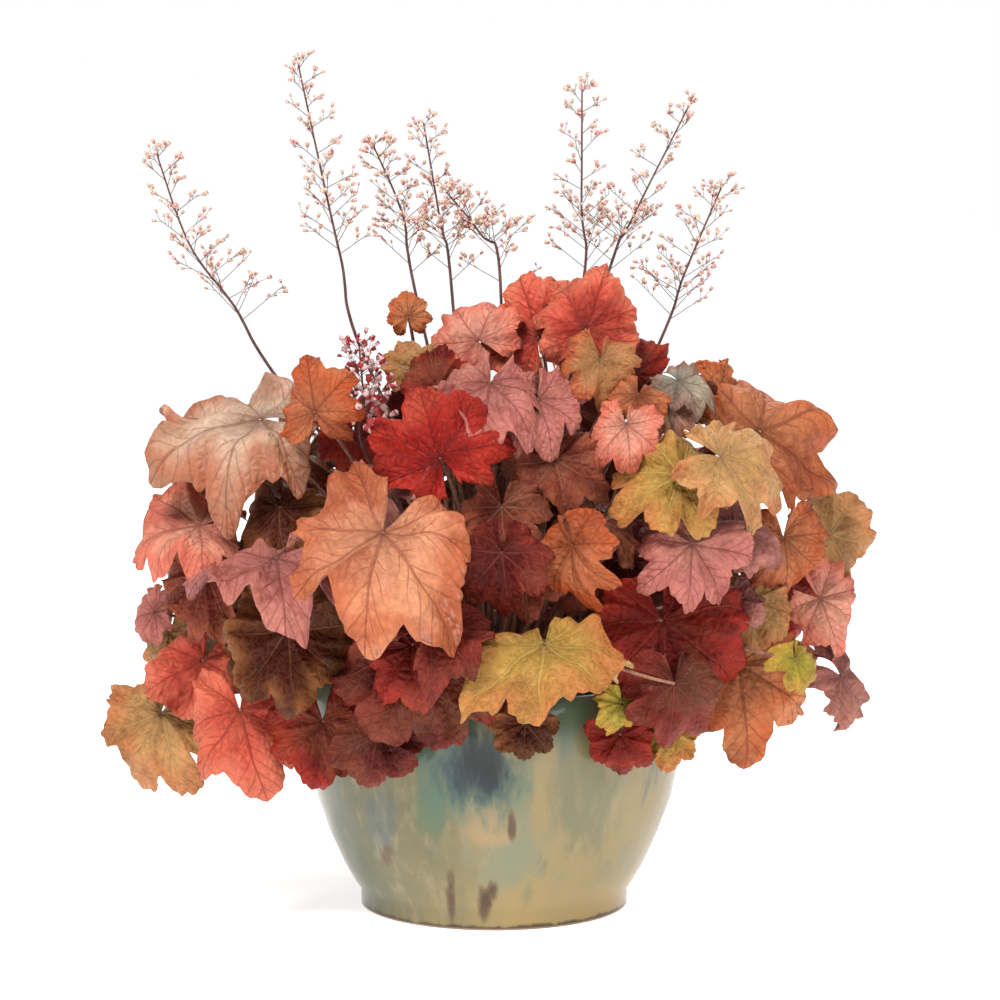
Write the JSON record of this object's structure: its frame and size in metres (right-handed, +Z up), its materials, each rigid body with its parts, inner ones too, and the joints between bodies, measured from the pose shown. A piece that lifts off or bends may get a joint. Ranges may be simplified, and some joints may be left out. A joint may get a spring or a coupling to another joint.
{
  "type": "potted heuchera plant",
  "caption": "Potted foliage perennial: a mound of lobed, ruffled leaves in coral, peach, burgundy and olive with airy flower stalks, in a round runny-glazed ceramic bowl.",
  "frame": {"origin": "middle of the pot's flat underside, where it rests", "axes": "+Z up, along the pot's axis; the side seen in the picture faces -Y, with +X to its right"},
  "size_m": [0.4919, 0.4157, 0.5312],
  "materials": {
    "pot_glaze": "gloss runny glaze in sage, cream and teal",
    "soil": "matte crumbly potting mix",
    "crown": "matte scaly rootstock",
    "leaf_brown": "satin",
    "leaf_burgundy": "satin",
    "leaf_coral": "satin",
    "leaf_crimson": "satin",
    "leaf_golden": "satin",
    "leaf_mauve": "satin",
    "leaf_olive": "satin",
    "leaf_orange": "satin",
    "leaf_peach": "satin",
    "leaf_red": "satin",
    "leaf_rose": "satin",
    "leaf_russet": "satin",
    "leaf_salmon": "satin",
    "leaf_tan": "satin",
    "flower_stalk": "matte"
  },
  "bodies": {
    "root": {"pot": "pot_glaze", "soil": "soil", "crown": "crown", "leaf_top_coral": "leaf_coral", "leaf_top_red": "leaf_coral", "leaf_top_crimson": "leaf_crimson", "leaf_top_salmon": "leaf_salmon", "leaf_rose_pale": "leaf_rose", "leaf_rose_middle": "leaf_rose", "leaf_red_middle": "leaf_red", "leaf_mauve_left": "leaf_mauve", "leaf_left_orange": "leaf_orange", "leaf_left_tan": "leaf_tan", "leaf_left_red": "leaf_red", "leaf_left_salmon": "leaf_salmon", "leaf_left_brown": "leaf_brown", "leaf_peach_front": "leaf_peach", "leaf_rose_arch": "leaf_rose", "leaf_cupped_brown": "leaf_brown", "leaf_left_olive": "leaf_olive", "leaf_low_golden": "leaf_olive", "leaf_low_rose": "leaf_coral", "leaf_low_coral": "leaf_coral", "leaf_low_crimson": "leaf_crimson", "leaf_low_burgundy": "leaf_burgundy", "leaf_golden_front": "leaf_golden", "leaf_orange_edge": "leaf_orange", "leaf_maroon_right": "leaf_burgundy", "leaf_maroon_low": "leaf_crimson", "leaf_right_rose": "leaf_rose", "leaf_right_mauve": "leaf_mauve", "leaf_right_edge": "leaf_olive", "leaf_right_salmon": "leaf_salmon", "leaf_low_orange": "leaf_orange", "leaf_low_rust": "leaf_burgundy", "leaf_russet_middle": "leaf_russet", "leaf_right_coral": "leaf_orange", "leaf_right_golden": "leaf_golden", "leaf_right_peach": "leaf_olive", "leaf_rear_top_left": "leaf_red", "leaf_rear_top_right": "leaf_orange", "leaf_rear_upper_middle": "leaf_rose", "leaf_rear_upper_left": "leaf_tan", "leaf_rear_upper_right": "leaf_peach", "leaf_rear_middle_left": "leaf_coral", "leaf_rear_middle_right": "leaf_burgundy", "leaf_rear_low_left": "leaf_olive", "leaf_rear_low_right": "leaf_russet", "leaf_rear_skirt_left": "leaf_salmon", "leaf_rear_skirt_middle": "leaf_golden", "leaf_rear_skirt_right": "leaf_crimson", "stalk_far_left": "flower_stalk", "stalk_tall_left": "flower_stalk", "stalk_left_leaning": "flower_stalk", "stalk_left_upright": "flower_stalk", "stalk_middle_leaning": "flower_stalk", "stalk_right_upright": "flower_stalk", "stalk_right_leaning": "flower_stalk", "stalk_far_right": "flower_stalk", "stalk_low_budded": "flower_stalk"}
  },
  "joints": []
}
